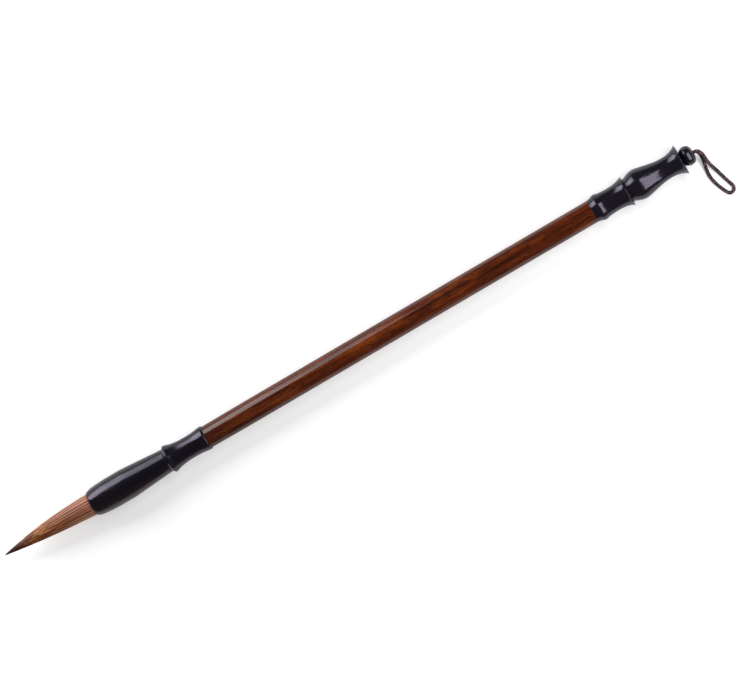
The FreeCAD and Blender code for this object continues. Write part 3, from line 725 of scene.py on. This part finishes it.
# Fine lengthwise ridges: the radius changes with the angle by a fixed random pattern, 0.15 mm wide.
root_angles = np.arange(180) / 180 * 2 * pi
root_ridges = random.normal(0, 1, 180) * 0.03
root_outline = break_edges(np.array([
    (root_start, 0), (root_start, pressed_radius), (binding_low.x / mm, pressed_radius),
    (binding_low.x / mm, groove_radius), (binding_high.x / mm, groove_radius),
    (binding_high.x / mm, pressed_radius), (root_end, pressed_radius), (root_end, 0)]), False)[1:-1]
root_x, root_r = root_outline[:, :1] + 0 * root_angles, root_outline[:, 1:] + np.minimum(root_ridges, 0.04)
hair_root = surface("bound_hair_root", np.stack([
    root_x, root_r * np.cos(root_angles), stock_radius + root_r * np.sin(root_angles)], axis=-1) * mm,
    around=True, ends=True)


# Tuft
# Weasel-tail hairs in three layers: long core hairs that form the point, middle hairs, and cover hairs round
# them. Red-brown and glossy, paler at the root, golden in places and dark at the point.
tuft_shape = [
    (0.0, 0.05), (1.2, 0.34), (3.6, 0.78), (7.0, 1.32), (13.0, 2.22), (20.0, 3.05), (28.0, 3.72),
    (34.5, 4.13)]
tuft_outline = through([(tip_x + x, r) for x, r in tuft_shape] + [(mouth, hair_radius)], 240)
tuft_bow = 0.3               # the tuft's middle stands this far to one side of a straight line


def tuft_radius(x):
    """The tuft's radius at x, in mm: its smooth outline from the tip to the mouth, then straight."""
    return np.interp(x, tuft_outline[:, 0], tuft_outline[:, 1])


def tuft_side(x):
    """How far the tuft's centre line stands to the side at x, in mm: half a sine wave from tip to mouth."""
    return tuft_bow * np.sin(pi * np.clip((x - tip_x) / (mouth - tip_x), 0, 1))


# Locks: hairs that cling together, in streaks that run through all the layers. They are 0.3 to 0.7 mm wide at
# the cup, half of a wave that goes round the tuft 20 to 45 times.
# The locks' pale and dark streaks are partly the hairs' own tone and partly painted shade, darker in the
# grooves between locks.
lock_count = 30
lock_turns = random.integers(20, 46, lock_count)
lock_phase = random.uniform(0, 2 * pi, lock_count)
lock_drift = random.normal(0, 0.025, lock_count)
lock_wave = random.uniform(0, 2 * pi, lock_count)


def locks(angle, x):
    """How pale the lock at this angle and x is, about -1 to 1: a sum of cosines of the angle, whose phases
    drift to and fro along the tuft."""
    angle, x = (np.asarray(part)[..., None] for part in np.broadcast_arrays(angle, x))
    drift = lock_drift * lock_turns * np.sin(0.2 * x + lock_wave)
    return np.cos(lock_turns * angle + lock_phase + drift).sum(axis=-1) / lock_count ** 0.5


# Core hairs: the closed body of the tuft, ridged lengthwise by its hairs.
core_rows, core_columns = 150, 420
core_share = 0.96            # of the tuft's radius
lock_relief, hair_relief = 0.035, 0.03
point_run = 6                # over which the ridges fade towards the tip
core_x = np.linspace(root_start + 0.4, tip_x, core_rows)[:, None]
core_angle = (np.arange(core_columns) / core_columns * 2 * pi)[None, :]
core_locks = locks(core_angle, core_x)
core_fine = random.normal(0, 1, core_columns)[None, :]
core_fade = np.clip((core_x - tip_x) / point_run, 0.05, 1)
core_ridges = (lock_relief * core_locks + hair_relief * core_fine) * core_fade
core_radius = np.maximum(tuft_radius(core_x) * core_share + core_ridges, 0.05)
core_hairs = surface("core_hairs", np.stack([
    core_x + 0 * core_angle, tuft_side(core_x) + core_radius * np.cos(core_angle),
    stock_radius + core_radius * np.sin(core_angle)], axis=-1) * mm, around=True, ends=True)
# Painted shade and own tone: the core is darker in its grooves and paler on its ridges, and varies at random.
core_tone_and_shade = 0.36 + 0.5 * core_locks + 0.1 * core_fine


def hair_attributes(piece, values):
    """Stores how pale each point's hair is, 0 to 1, and where the point lies as built, which the material
    reads in place of object coordinates. The middles of closed ends get the mean."""
    tones = np.clip(np.ravel(values), 0, 1)
    missing = len(piece.data.vertices) - len(tones)
    tones = np.concatenate([tones, np.full(missing, tones.mean())]).astype(np.float32)
    piece.data.attributes.new("tone", "FLOAT", "POINT").data.foreach_set("value", tones)
    places = np.empty(3 * len(piece.data.vertices), np.float32)
    piece.data.vertices.foreach_get("co", places)
    piece.data.attributes.new("straight_place", "FLOAT_VECTOR", "POINT").data.foreach_set("vector", places)


hair_attributes(core_hairs, core_tone_and_shade)


def hair_layer(name, count, short, depth, thickness):
    """Layer of single tapered hairs, three-sided. Each hair starts in the mouth of the cup at a random angle
    and at a fraction of the tuft's radius, which is 1 less up to depth. It keeps both while the tuft narrows,
    wanders a little, and ends up to short mm from the tip. Its radius is about thickness mm and tapers."""
    steps = np.linspace(0, 1, 12)[None, :]
    angle = random.uniform(0, 2 * pi, count)[:, None]
    fraction = 1 - depth * random.uniform(0, 1, count)[:, None] ** 1.5
    finish_x = tip_x + 0.2 + short * random.beta(1.1, 1.6, count)[:, None]
    start_x = root_start + 0.5 * random.uniform(0, 1, count)[:, None]
    x = start_x + (finish_x - start_x) * steps
    sway = random.normal(0, 0.03, count)[:, None]
    turn = angle + sway * np.sin(pi * steps * random.uniform(0.8, 2.2, count)[:, None])
    radius = tuft_radius(x) * (fraction + 0.008 * random.normal(0, 1, count)[:, None] * steps)
    width = thickness * random.uniform(0.7, 1.2, count)[:, None] * (1 - steps ** 3 * 0.9)
    corners = np.arange(3) / 3 * 2 * pi
    out = radius[..., None] + width[..., None] * np.cos(corners)
    level = width[..., None] * np.sin(corners)
    y = tuft_side(x)[..., None] + out * np.cos(turn)[..., None] - level * np.sin(turn)[..., None]
    z = stock_radius + out * np.sin(turn)[..., None] + level * np.cos(turn)[..., None]
    points = np.stack([x[..., None] + 0 * y, y, z], axis=-1)
    number = np.arange(points[..., 0].size).reshape(points.shape[:3])
    beyond = np.roll(number, -1, axis=2)
    quads = np.stack([number[:, :-1], beyond[:, :-1], beyond[:, 1:], number[:, 1:]], axis=-1).reshape(-1, 4)
    butts = number[:, 0, ::-1]
    points_end = number[:, -1]
    faces = quads.tolist() + butts.tolist() + points_end.tolist()
    layer = object_from(name, points.reshape(-1, 3) * mm, faces)
    # Painted shade and own tone: hairs over the grooves between locks are darker, and each hair differs at
    # random.
    tone = 0.52 + 0.6 * locks(turn, x) + 0.15 * random.normal(0, 1, count)[:, None]
    hair_attributes(layer, np.repeat(tone[..., None], 3, axis=2))
    return layer


middle_hairs = hair_layer("middle_hairs", count=2000, short=9.0, depth=0.05, thickness=0.045)
cover_hairs = hair_layer("cover_hairs", count=2200, short=16.0, depth=0.02, thickness=0.045)

# Weasel hair: smooth glossy keratin, whose colour runs from tan at the root to dark brown at the point.
weasel, tree, output = new_material("weasel_tail_hair")
place = add(tree, "ShaderNodeAttribute", attribute_name="straight_place")
split = add(tree, "ShaderNodeSeparateXYZ", {0: place.outputs["Vector"]})
reach = add(tree, "ShaderNodeMapRange", {0: split.outputs["X"], 1: tip_x * mm, 2: mouth * mm})
colour = add(tree, "ShaderNodeValToRGB", {0: reach.outputs[0]}, [
    (0.0, "#3e160b"), (0.14, "#5a2210"), (0.30, "#8e4a28"), (0.60, "#ab6846"), (1.0, "#c38567")])
# Painted light: the hairs of the side towards -Y are painted paler, most of all near the root, in place of
# the light the table throws up through them.
rim_light_from, rim_light_to = -1.6 * mm, -3.8 * mm
lower = add(tree, "ShaderNodeMapRange", {0: split.outputs["Y"], 1: rim_light_from, 2: rim_light_to, 3: 0.0, 4: 0.75})
rear = add(tree, "ShaderNodeMapRange", {0: reach.outputs[0], 1: 0.3, 2: 0.8})
painted_rim_light = add(tree, "ShaderNodeMath", {0: lower.outputs[0], 1: rear.outputs[0]}, operation="MULTIPLY")
colour = add(tree, "ShaderNodeMix", {
    0: painted_rim_light.outputs[0], 6: colour.outputs[0], 7: linear("#ffd0a8")}, data_type="RGBA")
tone = add(tree, "ShaderNodeAttribute", attribute_name="tone")
pale = add(tree, "ShaderNodeValToRGB", {0: tone.outputs["Fac"]}, [
    (0.1, "#58392d"), (0.5, "#d4c2b8"), (0.9, "#ffffff")])
shaded = add(tree, "ShaderNodeMix", {
    0: 1.0, 6: colour.outputs[2], 7: pale.outputs[0]}, data_type="RGBA", blend_type="MULTIPLY")
# Golden streaks where the light comes through the hairs, about 0.6 mm wide and 7 mm long.
along_gold = add(tree, "ShaderNodeMapping", {"Vector": place.outputs["Vector"], "Scale": (140, 1700, 1700)})
gold = add(tree, "ShaderNodeTexNoise", {"Vector": along_gold.outputs[0], "Scale": 1.0, "Detail": 2.0})
golden = add(tree, "ShaderNodeMapRange", {0: gold.outputs["Fac"], 1: 0.55, 2: 0.63, 3: 0.0, 4: 0.85})
middle = add(tree, "ShaderNodeMapRange", {0: reach.outputs[0], 1: 0.75, 2: 0.5})
front = add(tree, "ShaderNodeMapRange", {0: reach.outputs[0], 1: 0.18, 2: 0.3})
share = add(tree, "ShaderNodeMath", {0: golden.outputs[0], 1: middle.outputs[0]}, operation="MULTIPLY")
share = add(tree, "ShaderNodeMath", {0: share.outputs[0], 1: front.outputs[0]}, operation="MULTIPLY")
colour = add(tree, "ShaderNodeMix", {
    0: share.outputs[0], 6: shaded.outputs[2], 7: linear("#d3963f")}, data_type="RGBA")
keratin = add(tree, "ShaderNodeBsdfPrincipled", {"Base Color": colour.outputs[2], "Roughness": 0.5})
keratin.inputs["IOR"].default_value = 1.5
keratin.inputs["Sheen Weight"].default_value = 0.17
keratin.inputs["Sheen Roughness"].default_value = 0.4
keratin.inputs["Sheen Tint"].default_value = linear("#e0b090")
tree.links.new(keratin.outputs[0], output.inputs["Surface"])

hair_attributes(hair_root, np.full(len(hair_root.data.vertices), 0.5))
finish_piece(hair_root, "handle", "hair", weasel, "hair_root")
for layer, node in ((core_hairs, "hair_core"), (middle_hairs, "hair_middle"), (cover_hairs, "hair_cover")):
    layer.data.materials.append(weasel)
    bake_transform(layer)
    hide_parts(node)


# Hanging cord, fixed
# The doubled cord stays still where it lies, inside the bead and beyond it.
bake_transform(cord)
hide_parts("cord_loop", "cord_stem")
